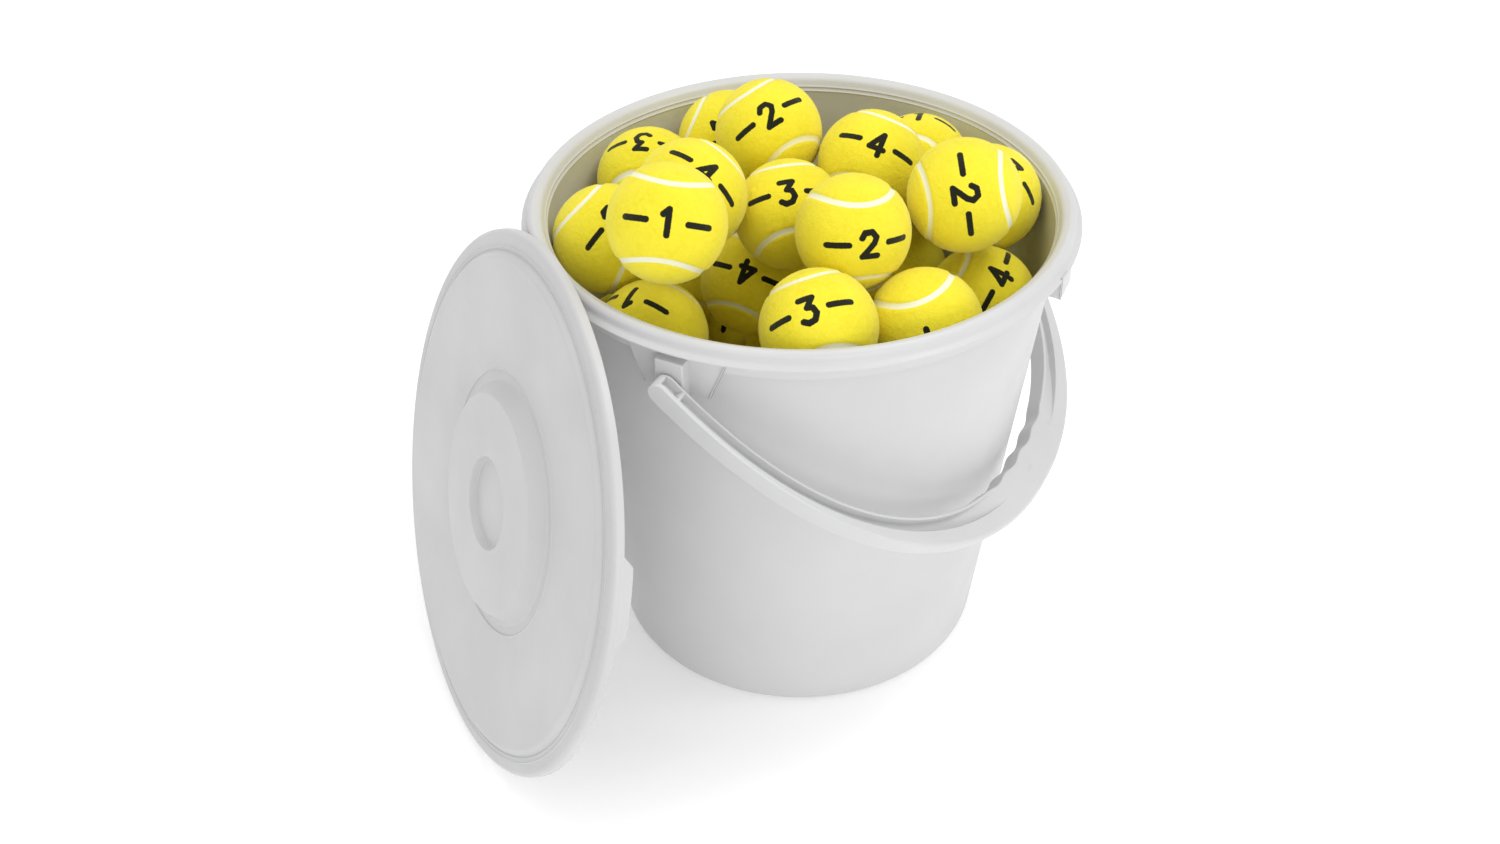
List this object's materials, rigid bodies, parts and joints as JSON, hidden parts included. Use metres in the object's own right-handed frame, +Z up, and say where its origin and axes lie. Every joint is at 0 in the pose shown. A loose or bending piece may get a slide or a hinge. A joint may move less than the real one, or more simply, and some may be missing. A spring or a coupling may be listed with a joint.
{
  "type": "bucket of tennis balls",
  "caption": "Round white plastic bucket with a swinging bail handle, filled above its rim with yellow felt tennis balls, its dished lid leaning against it.",
  "frame": {"origin": "middle of the bucket's base, on the surface it stands on", "axes": "+Z up; X along the handle's pins, the lid's side at -X +Y; the handle hangs towards -Y"},
  "size_m": [0.4575, 0.4157, 0.3744],
  "materials": {
    "bucket_plastic": "satin moulded white plastic",
    "handle_plastic": "satin moulded white plastic",
    "lid_plastic": "satin moulded white plastic, a little greyer than the bucket",
    "ball_felt": "fuzzy optic-yellow felt with a white rubber seam"
  },
  "bodies": {
    "bucket_full": {"bucket": "bucket_plastic", "ball_03": "ball_felt", "ball_04": "ball_felt", "ball_05": "ball_felt", "ball_06": "ball_felt", "ball_08": "ball_felt", "ball_09": "ball_felt", "ball_11": "ball_felt", "ball_12": "ball_felt", "ball_13": "ball_felt", "ball_15": "ball_felt", "ball_16": "ball_felt", "ball_17": "ball_felt", "ball_18": "ball_felt", "ball_19": "ball_felt", "ball_20": "ball_felt", "ball_21": "ball_felt", "ball_22": "ball_felt", "ball_23": "ball_felt", "ball_24": "ball_felt", "ball_25": "ball_felt", "ball_26": "ball_felt", "ball_27": "ball_felt", "ball_28": "ball_felt", "ball_29": "ball_felt", "ball_30": "ball_felt", "ball_31": "ball_felt", "ball_32": "ball_felt", "ball_33": "ball_felt", "ball_34": "ball_felt", "ball_35": "ball_felt", "ball_36": "ball_felt", "ball_37": "ball_felt", "ball_38": "ball_felt", "ball_39": "ball_felt", "ball_40": "ball_felt", "ball_41": "ball_felt", "ball_42": "ball_felt", "ball_43": "ball_felt", "ball_44": "ball_felt", "ball_45": "ball_felt", "ball_46": "ball_felt", "ball_47": "ball_felt", "ball_48": "ball_felt", "ball_49": "ball_felt", "ball_50": "ball_felt", "ball_51": "ball_felt", "ball_52": "ball_felt", "ball_53": "ball_felt", "ball_54": "ball_felt", "ball_55": "ball_felt", "ball_56": "ball_felt", "ball_57": "ball_felt"},
    "handle": {"handle": "handle_plastic"},
    "lid": {"lid": "lid_plastic"},
    "ball_01": {"ball_01": "ball_felt"},
    "ball_02": {"ball_02": "ball_felt"},
    "ball_07": {"ball_07": "ball_felt"},
    "ball_10": {"ball_10": "ball_felt"},
    "ball_14": {"ball_14": "ball_felt"}
  },
  "joints": [
    {"name": "handle_swing", "type": "hinge", "parent": "bucket_full", "child": "handle", "pos_m": [0, 0, 0.279], "axis": [-1, 0, 0], "range_deg": [0, 180]},
    {"name": "lid_tip", "type": "hinge", "parent": "bucket_full", "child": "lid", "pos_m": [-0.2067, 0.143, 0.01], "axis": [-0.6184, -0.7859, 0], "range_deg": [0, 106]},
    {"name": "ball_01_lift", "type": "slide", "parent": "bucket_full", "child": "ball_01", "axis": [0, 0, 1], "range_m": [0, 0.15]},
    {"name": "ball_02_lift", "type": "slide", "parent": "bucket_full", "child": "ball_02", "axis": [0, 0, 1], "range_m": [0, 0.15]},
    {"name": "ball_07_lift", "type": "slide", "parent": "bucket_full", "child": "ball_07", "axis": [0, 0, 1], "range_m": [0, 0.15]},
    {"name": "ball_10_lift", "type": "slide", "parent": "bucket_full", "child": "ball_10", "axis": [0, 0, 1], "range_m": [0, 0.15]},
    {"name": "ball_14_lift", "type": "slide", "parent": "bucket_full", "child": "ball_14", "axis": [0, 0, 1], "range_m": [0, 0.15]}
  ]
}
